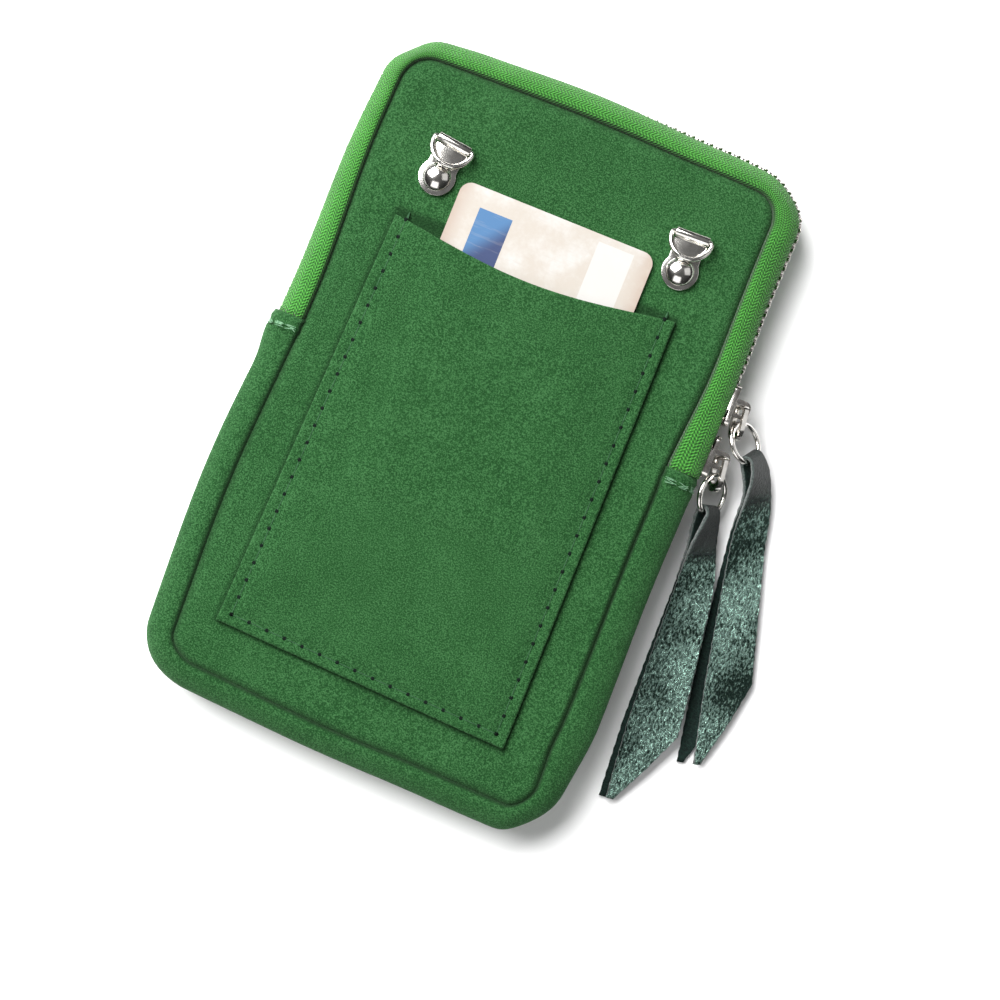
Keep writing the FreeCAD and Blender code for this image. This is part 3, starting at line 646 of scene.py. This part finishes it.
# folded ends (hems) with a row of tacks, which differ on the left (-1) and the right (1), and the
# waves of the wall below them; climbs and hills are heights on the pouch in millimetres
gussetLook = {
    "hemRise": {-1: 1.5 * mm, 1: 0.3 * mm}, "hemClimb": {-1: (-6.0, 12.0), 1: (2.5, 4.0)},
    "leftSwell": (-16.0, 22.0), "free": (3.6, 2.4),
    "wave": 0.34 * mm, "waveEnd": (-6.0, 10.0), "crown": (2.0, 4.0), "rearShare": 0.3,
    "dent": 0.35 * mm, "dentHill": (7.1, 0.8), "turned": 0.45 * mm, "turnedClimb": (10.1, 0.4),
    "sunk": 0.9 * mm, "sunkClimb": (4.5, 4.0), "sunkEnd": (2.0, 8.0),
}


def makeGusset():
    look, middle = gussetLook, pouch["top"] / 2
    section = bandSection(1)[::-1] + bandSection(-1)[1:]

    def shape(place, out, i):
        x, y, z = place.x / mm, place.y / mm, (place.z - middle) / mm
        end = 1 if x > 0 else -1
        free = 1 - climb(section[i][0] / mm, *look["free"])
        crown = climb(abs(z), *look["crown"]) * (1 if z > 0 else look["rearShare"])
        wave = ripple(x * 1.3, y, 3.0) * look["wave"] * (1 - climb(y, *look["waveEnd"])) * crown
        hem = look["hemRise"][end] * climb(y, *look["hemClimb"][end])
        if x < 0:
            hem *= climb(y, *look["leftSwell"])
        dent = look["dent"] * hill(y, *look["dentHill"])
        turned = look["turned"] * climb(y, *look["turnedClimb"])
        sunk = look["sunk"] * climb(z, *look["sunkClimb"]) * (1 - climb(y, *look["sunkEnd"]))
        place = place + out * ((wave + hem) * free - dent - turned) - Vector((0, 0, sunk))
        place += slack(place)
        place.z = max(place.z, 0.0)
        return place

    stops = outlineStops(-1)
    bm, _ = runBand(section, stops, shape)
    piece = meshPiece("gusset", bm, [suede, rawEdge])
    facingOut(piece)
    modifier(piece, "SOLIDIFY", thickness=pouch["suede"], offset=-1.0, material_offset_rim=1)
    return place(piece, "pouch", "suede", "gusset")


def facingOut(piece):
    # a wall gets its thickness inwards, whichever way its faces were laid
    face = max(piece.data.polygons, key=lambda f: f.center.x)
    if face.normal.x < 0:
        piece.data.flip_normals()


sliderY = {name: (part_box(name + "_slider")[0].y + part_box(name + "_slider")[1].y) / 2 / mm
           for name in ("upper", "lower")}
# how the chain parts between the sliders, and stands out of the tape away from them
chain = {"shoulder": -2.0, "shoulderRun": 6.0, "parted": 2.0, "edge": 1.2,
         "stand": 0.55 * mm, "standRun": 25.0, "sliders": (24.6, 15.0)}
tapeCut = {"insets": (0.55, 0.42), "step": 0.5, "least": 0.3, "belly": 0.4, "bellyRun": 9.0,
           "uneven": 0.22, "parting": 7.5, "swell": 0.8, "swellRun": 3.0}


def parting(y):
    below = climb(y, sliderY["lower"] + chain["shoulder"], chain["shoulderRun"])
    above = climb(-y, chain["shoulder"] - sliderY["upper"], chain["shoulderRun"])
    return chain["parted"] * below * above


def makeTape(name, side):
    middle = pouch["top"] / 2
    edge, look = chain["edge"] * mm, tapeCut
    section = [(inset * mm, middle + side * (edge + i * look["step"] * mm))
               for i, inset in enumerate(look["insets"])]
    section += [(max(inset, look["least"] * mm), height)
                for inset, height in bandSection(side)[2:]]
    across = [0.0]
    for one, two in zip(section, section[1:]):
        across.append(across[-1] + math.dist(one, two) / mm)

    def shape(place, out, i):
        x, y = place.x / mm, place.y / mm
        belly = look["belly"] * math.sin(math.pi * min(across[i] / look["bellyRun"], 1.0))
        belly += look["uneven"] * ripple(x * 1.4, y * 1.4, 5.0 + side)
        shift = parting(y) * easeIn(1 - across[i] / look["parting"]) if x > 0 else 0.0
        place = place + out * belly * mm * easeIn(across[i] / look["swellRun"]) * look["swell"]
        place += slack(place) + Vector((0, 0, side * shift * mm))
        place.z = max(place.z, 0.0)
        return place

    stops = outlineStops(1)
    bm, cells = runBand(section, stops, shape)
    cloth = bm.loops.layers.uv.new("cloth")
    for face in bm.faces:
        for loop in face.loops:
            i, j = cells[loop.vert]
            loop[cloth].uv = (stops[j][2] / mm, across[i])
    piece = meshPiece(name, bm, [tape])
    facingOut(piece)
    modifier(piece, "SOLIDIFY", thickness=pouch["tapeThickness"], offset=-1.0)
    return place(piece, "pouch", "zip_tape", name)


makeGusset()
makeTape("front_zip_tape", 1)
makeTape("rear_zip_tape", -1)
print("side bands made")


# Metal pieces: the frame's own shapes with their edges eased

# distances and angles in degrees: welded, called flat, eased, shaded sharp
easing = {"weld": 0.0015 * mm, "flat": 0.6, "corner": 34.0, "sharp": 50.0}


def eased(node, width, material, segments=2, shift=None):
    bm = bmesh.new()
    bm.from_mesh(frame["nodes"][node].data)
    bmesh.ops.remove_doubles(bm, verts=bm.verts, dist=easing["weld"])
    bmesh.ops.dissolve_limit(bm, angle_limit=math.radians(easing["flat"]), verts=bm.verts,
                             edges=bm.edges, use_dissolve_boundaries=False)
    if shift:
        for vert in bm.verts:
            vert.co += shift(vert.co)
    corner = math.radians(easing["corner"])
    for edge in bm.edges:
        edge.smooth = not (edge.is_manifold and edge.calc_face_angle(0.0) > corner)
    corners = [edge for edge in bm.edges if not edge.smooth]
    if width and corners:
        bmesh.ops.bevel(bm, geom=corners, offset=width, offset_type="OFFSET", affect="EDGES",
                        segments=segments, profile=0.5, material=-1, clamp_overlap=True)
        for edge in bm.edges:
            edge.smooth = True
    piece = meshPiece(node, bm, [material])
    piece.data.set_sharp_from_angle(angle=math.radians(easing["sharp"]))
    return place(piece, bodyOf[node], slotOf[node], node)


def chainLies(place):
    # on the right, away from the sliders, the chain stands a little out of the tape
    centre, spread = chain["sliders"]
    beside = math.exp(-((place.y / mm - centre) / spread) ** 4) if place.x > 0 else 0.0
    stand = chain["stand"] * (1 - beside) * easeIn(place.x / mm / chain["standRun"])
    return slack(place) + outwardOf(place.x, place.y) * stand


for side in ("left", "right"):
    eased(side + "_clip_plate", 0.16 * mm, nickel, 3)
    eased(side + "_rivet", 0.12 * mm, nickel)
    eased(side + "_clip_ring", 0, nickel)
    eased(side + "_rivet_washer", 0.1 * mm, nickel)
for name in ("upper", "lower"):
    eased(name + "_slider", 0.22 * mm, zipMetal, 3)
    eased(name + "_pull", 0.24 * mm, nickel, 3)
    eased(name + "_ring", 0, nickel)
for side in ("front", "rear"):
    eased(side + "_zip_teeth", 0.14 * mm, zipMetal, 1, chainLies)
print("metal eased")


# Card pocket: a cut patch of suede, dipped at its mouth, lifted by the card inside

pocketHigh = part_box("card_pocket")[1]
pocketLook = {"right": pocketHigh.x / mm, "top": pocketHigh.y / mm, "topWidth": 78.2,
              "bottomWidth": 82.1, "height": 120.0, "slope": 3.4, "dip": 4.3, "topSlope": 1.2,
              "inset": 3.0, "pitch": 5.0, "thickness": 1.25, "lift": 1.05,
              "groove": 0.32, "grooveSpread": 0.75, "swell": (3.4, 4.5), "flat": 0.35,
              "cardX": -0.2, "cardSide": (-30.0, 9.0), "cardEnd": (-27.5, 6.0),
              "uneven": 0.2, "mouthLift": 0.45, "mouthRun": (0.8, 0.2), "pressed": 0.22,
              "shade": 0.75, "shadeSpread": 0.95, "rough": 0.04, "columns": 84, "rows": 124}


def pocketPlace(s, t):
    # s across from the left, t up from the bottom, both 0 to 1; millimetres
    look = pocketLook
    left = Vector((look["right"] - look["bottomWidth"],
                   look["top"] - look["height"] + look["slope"]))
    right = Vector((look["right"], look["top"] - look["height"]))
    bottom = left.lerp(right, s)
    mouth = Vector((look["right"] - look["topWidth"] * (1 - s), look["top"]))
    mouth.y += look["topSlope"] * (s - 0.9) - look["dip"] * math.sin(math.pi * s) ** 1.15
    return bottom.lerp(mouth, t)


def pocketHeight(s, t):
    look = pocketLook
    x, y = pocketPlace(s, t)
    edges = (s * look["bottomWidth"], (1 - s) * look["bottomWidth"], t * look["height"])
    sewn = min(edges)
    groove = sum(hill(edge, look["inset"], look["grooveSpread"]) for edge in edges)
    groove *= look["groove"]
    swell = climb(sewn, *look["swell"])
    overCard = climb(-abs(x - look["cardX"]), *look["cardSide"]) * climb(y, *look["cardEnd"])
    lifted = look["lift"] * (look["flat"] + (1 - look["flat"]) * overCard) * swell
    lifted += look["uneven"] * swell * ripple(x, y, 1.3)
    lifted += look["mouthLift"] * math.sin(math.pi * s) * climb(t, *look["mouthRun"])
    return max(lifted, 0.0) - min(groove, look["groove"]) + look["thickness"]


def shadeBesidePocket(x, y):
    # painted shade on the panel close to the pocket's cut edges
    share = (y - pocketPlace(0, 0).y) / pocketLook["height"]
    if share > 0.99:
        return 0.0
    left, right = pocketPlace(0, max(share, 0)).x, pocketPlace(1, max(share, 0)).x
    bottom = pocketPlace(min(max((x - left) / (right - left), 0), 1), 0).y
    away = max(left - x, x - right, bottom - y, 0)
    return pocketLook["shade"] * hill(away, 0, pocketLook["shadeSpread"])


def makePocket():
    look = pocketLook
    bm = bmesh.new()
    bmesh.ops.create_grid(bm, x_segments=look["columns"], y_segments=look["rows"], size=0.5)
    bend = edgeCrowding["pocket"] * math.pi / 2
    share = {}
    for vert in bm.verts:
        s = 0.5 + math.sin(vert.co.x * 2 * bend) / math.sin(bend) / 2
        t = 0.5 + math.sin(vert.co.y * 2 * bend) / math.sin(bend) / 2
        share[vert] = (s, t)
        x, y = pocketPlace(s, t)
        vert.co = (x * mm, y * mm, pouch["top"] + pocketHeight(s, t) * mm)
    for vert in bm.verts:
        s, t = share[vert]
        rough = look["rough"] * math.sin(vert.co.x / mm * 2.3 + vert.co.y / mm * 1.9)
        near = min(s * look["bottomWidth"], (1 - s) * look["bottomWidth"], t * look["height"])
        vert.co.z -= look["pressed"] * (1 - easeIn(near / look["inset"])) * mm
        if s < 0.002 or s > 0.998 or t < 0.002 or t > 0.998:
            vert.co.x += (0.5 - round(s)) * rough * mm
    piece = meshPiece("card_pocket", bm, [suede, rawEdge])
    modifier(piece, "SOLIDIFY", thickness=look["thickness"] * mm, offset=-1.0,
             material_offset_rim=1)
    return place(piece, "pouch", "suede", "card_pocket")


makePocket()
makePanel("front_panel", 1)
makePanel("rear_panel", -1)
print("pocket and panels made")


# Stitching: a needle hole every pitch, drawn as a flat near-black spot of painted shade, with
# thread sunk between

def strand(bm, one, two, radius, sag):
    made = bmesh.ops.create_uvsphere(bm, u_segments=8, v_segments=7, radius=1.0)["verts"]
    axis = two - one
    turn = axis.to_track_quat("Z", "Y").to_matrix().to_4x4()
    grow = Matrix.Diagonal((radius, radius, axis.length / 2, 1.0))
    bmesh.ops.transform(bm, matrix=Matrix.Translation((one + two) / 2) @ turn @ grow, verts=made)
    for vert in made:
        share = (vert.co - one).dot(axis) / axis.length_squared
        vert.co.z += sag * (math.sin(math.pi * min(max(share, 0), 1)) - 1)


stitchLook = {"hole": 0.60 * mm, "holeDeep": 0.13 * mm, "thread": 0.14 * mm, "sunk": 0.05 * mm}


def stitchRun(bm, path, count):
    # path gives the place on the pocket for each share of the run
    look = stitchLook
    for i in range(count + 1):
        here = path(i / count)
        hole = bmesh.ops.create_uvsphere(bm, u_segments=10, v_segments=6, radius=1.0)["verts"]
        grow = Matrix.Diagonal((look["hole"], look["hole"], look["holeDeep"], 1.0))
        bmesh.ops.transform(bm, matrix=Matrix.Translation(here) @ grow, verts=hole)
        # painted shade: the hole spot takes the near-black hole material
        for face in {face for vert in hole for face in vert.link_faces}:
            face.material_index = 1
        if i < count:
            strand(bm, here, path((i + 1) / count), look["thread"], -look["sunk"])


def makePocketStitching():
    look = pocketLook
    bm = bmesh.new()
    s0 = look["inset"] / look["topWidth"]
    t0 = look["inset"] / look["height"]

    def on(s, t):
        x, y = pocketPlace(s, t)
        if t > 1:
            y += 0.5
        return Vector((x * mm, y * mm, pouch["top"] + (pocketHeight(s, min(t, 1)) + 0.05) * mm))

    def left(share):
        return on(s0, 1 - share * (1 - t0))

    def bottom(share):
        return on(s0 + share * (1 - 2 * s0), t0)

    def right(share):
        return on(1 - s0, t0 + share * (1 - t0))

    tall, wide = look["height"] - look["inset"], look["bottomWidth"] - 2 * look["inset"]
    for path, length in ((left, tall), (bottom, wide), (right, tall)):
        stitchRun(bm, path, round(length / look["pitch"]))
    for path, share in ((left, 0.0), (right, 1.0)):
        here = path(share)
        up = Vector((0.25 * mm, 2.4 * mm, -look["thickness"] * mm))
        strand(bm, here, here + up, 0.24 * mm, 0.0)
        strand(bm, here + Vector((0.35 * mm, 0, 0)), here + up * 0.9, 0.2 * mm, 0.0)
    piece = meshPiece("pocket_stitching", bm, [tonalThread, holeShade])
    return place(piece, "pouch", "dark_thread", "pocket_stitching")


makePocketStitching()


# mint tacks of several strands over each folded end: spans in degrees round the wall, by face
tackLook = {"spans": {1: ((18, 42), (48, 70), (74, 97)), -1: ((24, 50), (58, 84))}, "strands": 6,
            "below": 3.35 * mm, "proud": 0.28 * mm, "spread": 0.75, "radius": 0.13 * mm,
            "sag": 0.16 * mm, "lowest": 0.45 * mm}


def makeHemStitching():
    look = tackLook
    bm = bmesh.new()
    chance = random.Random(7)
    middle = pouch["top"] / 2
    y = pouch["zipEnd"] - look["below"]
    centreX, centreZ = pouch["half"] - pouch["round"], middle - pouch["round"]

    def tack(side, face, span):
        turn = pouch["round"] + look["proud"] + gussetLook["hemRise"][side]
        ends = []
        for angle in (span[0] + chance.uniform(-2, 5), span[1] - chance.uniform(-2, 6)):
            a = math.radians(angle)
            along = y + chance.uniform(-look["spread"], look["spread"]) * mm
            end = Vector((side * (centreX + turn * math.cos(a)), along,
                          middle + face * (centreZ + (turn - 0.2 * mm) * math.sin(a))))
            ends.append(end)
        for end in ends:
            end += slack(end)
            end.z = max(end.z, look["lowest"])
        strand(bm, *ends, look["radius"], -look["sag"] * face)

    for side in (-1, 1):
        for face, spans in look["spans"].items():
            for span in spans:
                for _ in range(look["strands"]):
                    tack(side, face, span)
    for vert in bm.verts:
        vert.co.z = max(vert.co.z, 0.02 * mm)
    piece = meshPiece("hem_stitching", bm, [mintThread])
    return place(piece, "pouch", "suede", "hem_stitching")


makeHemStitching()
print("stitching made")

frame["nodes"]["card"].data.materials.clear()
frame["nodes"]["card"].data.materials.append(cardPlastic)


# Straps: one ribbon of leather from the tip of one tail, round the ring, to the other tip

# heading in degrees, fan of the lower tail, arch, where the waves start, and the left and right
# edge of the tails by distance from the fold
strapLook = {
    "upper": {"heading": 14.0, "fan": -3.5, "arch": 0.0, "phase": 3.0,
              "flat": (0.0124, 0.172), "area": 0.00153,
              "edges": [(0, -2.6, 2.6), (3, -3.5, 3.5), (7, -4.0, 4.0), (11, -4.1, 4.1),
                        (18, -4.4, 4.2), (25, -4.7, 4.6), (42, -5.6, 5.3), (60, -6.2, 6.2),
                        (72, -6.3, 1.0), (83, -6.3, -4.6)]},
    "lower": {"heading": 5.5, "fan": -1.5, "arch": 2.5, "phase": 8.0,
              "flat": (0.014, 0.168), "area": 0.00167,
              "edges": [(0, -2.6, 2.6), (3, -3.4, 3.4), (7, -4.0, 4.0), (11, -4.2, 4.2),
                        (18, -4.8, 4.8), (25, -5.3, 5.3), (42, -6.2, 6.3), (60, -7.0, 7.0),
                        (71, -6.9, 1.2), (81, -6.7, -4.8)]},
}
leather = {"thickness": 1.0, "foldRadius": 1.25, "gap": 0.15, "landing": 25.0, "swingOut": 2.5,
           "touch": 60.0, "touchRun": 22.0, "tack": 11.0, "step": 1.3, "across": 10,
           "foldSteps": 8, "ragged": 0.10, "open": (12.0, 12.0), "cup": 0.30, "wave": 0.22,
           "lowerShare": 0.1, "bare": (6.0, 9.0)}


def makeStrap(name):
    look = strapLook[name]
    hinge = jointOf[name + "_strap_hinge"]
    ring = frame["nodes"][name + "_ring"].data.vertices
    centre = sum((vert.co for vert in ring), Vector()) / len(ring)
    start = Vector(hinge["pos_m"]) / mm
    leave = (Vector(hinge["pos_m"]) - centre).normalized()
    foldAcross = -Vector(hinge["axis"])
    foldUp = leave.cross(foldAcross).normalized()
    angle = math.radians(look["heading"])
    ahead = Vector((math.sin(angle), -math.cos(angle), 0))
    across = Vector((math.cos(angle), math.sin(angle), 0))
    landing = start + ahead * (leather["landing"] - 1.0) + across * leather["swingOut"]
    landing.z = leather["thickness"] + leather["gap"] / 2 + look["arch"] + 0.12
    pull = leather["landing"] / 3
    near, far = start + leave * pull, landing - ahead * pull

    def section(distance, fan):
        t = min(distance / leather["landing"], 1.0)
        middle = (start * (1 - t) ** 3 + near * (3 * t * (1 - t) ** 2)
                  + far * (3 * t * t * (1 - t)) + landing * t ** 3)
        if distance > leather["landing"]:
            middle = landing + ahead * (distance - leather["landing"])
            middle.z -= look["arch"] * climb(distance, leather["touch"], leather["touchRun"])
        way = ((near - start) * (1 - t) ** 2 + (far - near) * (2 * t * (1 - t))
               + (landing - far) * t * t)
        turn = easeIn(t)
        side = foldAcross * (1 - turn) + across * turn
        side = (side - way * (side.dot(way) / way.dot(way))).normalized()
        up = way.cross(side).normalized()
        spread = max(0.0, distance - leather["tack"]) * math.tan(math.radians(fan))
        return middle + side * spread, side, up

    def width(distance):
        edges = look["edges"]
        for (d0, l0, r0), (d1, l1, r1) in zip(edges, edges[1:]):
            if distance <= d1:
                share = (distance - d0) / (d1 - d0)
                return l0 + (l1 - l0) * share, r0 + (r1 - r0) * share
        return edges[-1][1:]

    end = look["edges"][-1][0]
    half = leather["thickness"] / 2
    rows = []
    count = round(end / leather["step"])
    for side, fan in ((-1, look["fan"]), (1, 0.0)):
        tail = []
        for i in range(count + 1):
            distance = end * i / count
            middle, cross, up = section(distance, fan)
            folded, flat = leather["foldRadius"] + half, leather["gap"] / 2 + half
            offset = folded + (flat - folded) * easeIn(distance / leather["tack"])
            leftEdge, rightEdge = width(distance)
            tail.append((middle, cross, up, side, offset, leftEdge, rightEdge, distance))
        rows += tail[::-1] if side < 0 else tail
        if side < 0:
            for i in range(1, leather["foldSteps"]):
                a = math.pi * (1 - i / leather["foldSteps"])
                bent = foldUp * math.cos(a) - leave * math.sin(a)
                rows.append((start, foldAcross, bent, 1, leather["foldRadius"] + half,
                             *width(0.0), 0.0))
    columns, phase = leather["across"], look["phase"]

    def spot(i, j):
        middle, cross, up, side, offset, leftEdge, rightEdge, distance = rows[j]
        share = i / columns
        ragged = 0.0
        if i in (0, columns):
            ragged = leather["ragged"] * math.sin(distance * 1.9 + phase + 4 * share)
        reach = leftEdge + (rightEdge - leftEdge) * share + ragged
        wavy = 1 + math.sin(distance / 4.6 + phase + 2.2 * share)
        lift = leather["cup"] * (2 * share - 1) ** 2 + leather["wave"] * wavy
        lift *= climb(distance, *leather["open"])
        if side < 0:
            lift *= leather["lowerShare"]
        place = (middle + cross * reach + up * (side * offset + lift)) * mm
        place.z = max(place.z, (half + 0.02) * mm)
        return place

    def bare(_, j):
        return 1 - climb(rows[j][-1], *leather["bare"])

    bm, _ = laidGrid(columns, len(rows) - 1, spot, "bare", bare)
    piece = meshPiece(name + "_strap", bm, [foil, reverse, furry])
    # the foil faces up on the upper tail
    lastRows = sorted(piece.data.polygons, key=lambda f: f.center.y)[:20]
    topmost = max(lastRows, key=lambda f: f.center.z)
    if topmost.normal.z < 0:
        piece.data.flip_normals()
    modifier(piece, "SOLIDIFY", thickness=leather["thickness"] * mm, offset=0.0,
             use_even_offset=False, material_offset=1, material_offset_rim=2)
    return place(piece, name + "_strap", "strap_leather", name + "_strap")


for name in ("upper", "lower"):
    makeStrap(name)
    eased(name + "_strap_thread", 0.12 * mm, darkThread)
print("straps made")


# Floor, light and camera

floorLook = {"reach": 3.0, "below": 0.1 * mm, "white": (0.93, 0.93, 0.93, 1)}


def makeStage():
    bm = bmesh.new()
    bmesh.ops.create_grid(bm, x_segments=1, y_segments=1, size=floorLook["reach"])
    bmesh.ops.translate(bm, verts=bm.verts, vec=(0, 0, -floorLook["below"]))

    def paint(start):
        grain = objectPlace(start).noise(30.0)
        return {"Roughness": 0.7 + grain * 0.1}

    white = newMaterial("floor", paint, {"Base Color": floorLook["white"],
                                         "Specular IOR Level": 0.1})
    meshPiece("floor", bm, [white])


# place, size and power of each soft box
lights = [("key", (-0.76, 0.47, 1.0), 1.15, 60.0), ("fill", (0.90, 0.45, 0.80), 0.9, 2.0),
          ("low", (0.05, -1.0, 0.80), 1.0, 5.0)]
sky = {"horizon": 0.01, "middle": 0.04, "top": 0.12}


def makeLights():
    for name, spot, size, power in lights:
        data = bpy.data.lights.new(name, "AREA")
        data.size, data.energy = size, power
        lamp = bpy.data.objects.new(name, data)
        bpy.context.collection.objects.link(lamp)
        lamp.location = spot
        lamp.rotation_euler = (-Vector(spot)).to_track_quat("-Z", "Y").to_euler()
    world = bpy.data.worlds.new("studio")
    world.use_nodes = True
    background = world.node_tree.nodes["Background"]
    start = Wire(world.node_tree)
    height = start.add("ShaderNodeTexCoord", {}, {}, "Generated").apart(2)
    shade = height.ramp((0.0, (sky["horizon"],) * 3), (0.45, (sky["middle"],) * 3),
                        (1.0, (sky["top"],) * 3))
    world.node_tree.links.new(shade.socket, background.inputs["Color"])
    bpy.context.scene.world = world


view = {"aim": (12.8 * mm, -14.0 * mm), "width": 261.0 * mm, "away": 0.85, "turn": 22.0,
        "sensor": 36.0}


def makeCamera():
    data = bpy.data.cameras.new("camera")
    data.sensor_width = view["sensor"]
    data.lens = data.sensor_width * view["away"] / view["width"]
    data.dof.use_dof = False
    camera = bpy.data.objects.new("camera", data)
    bpy.context.collection.objects.link(camera)
    camera.location = (*view["aim"], pouch["top"] + view["away"])
    camera.rotation_euler = (0, 0, math.radians(view["turn"]))
    bpy.context.scene.camera = camera


makeStage()
makeLights()
makeCamera()
bpy.context.scene.view_settings.view_transform = "Standard"
print("stage made")
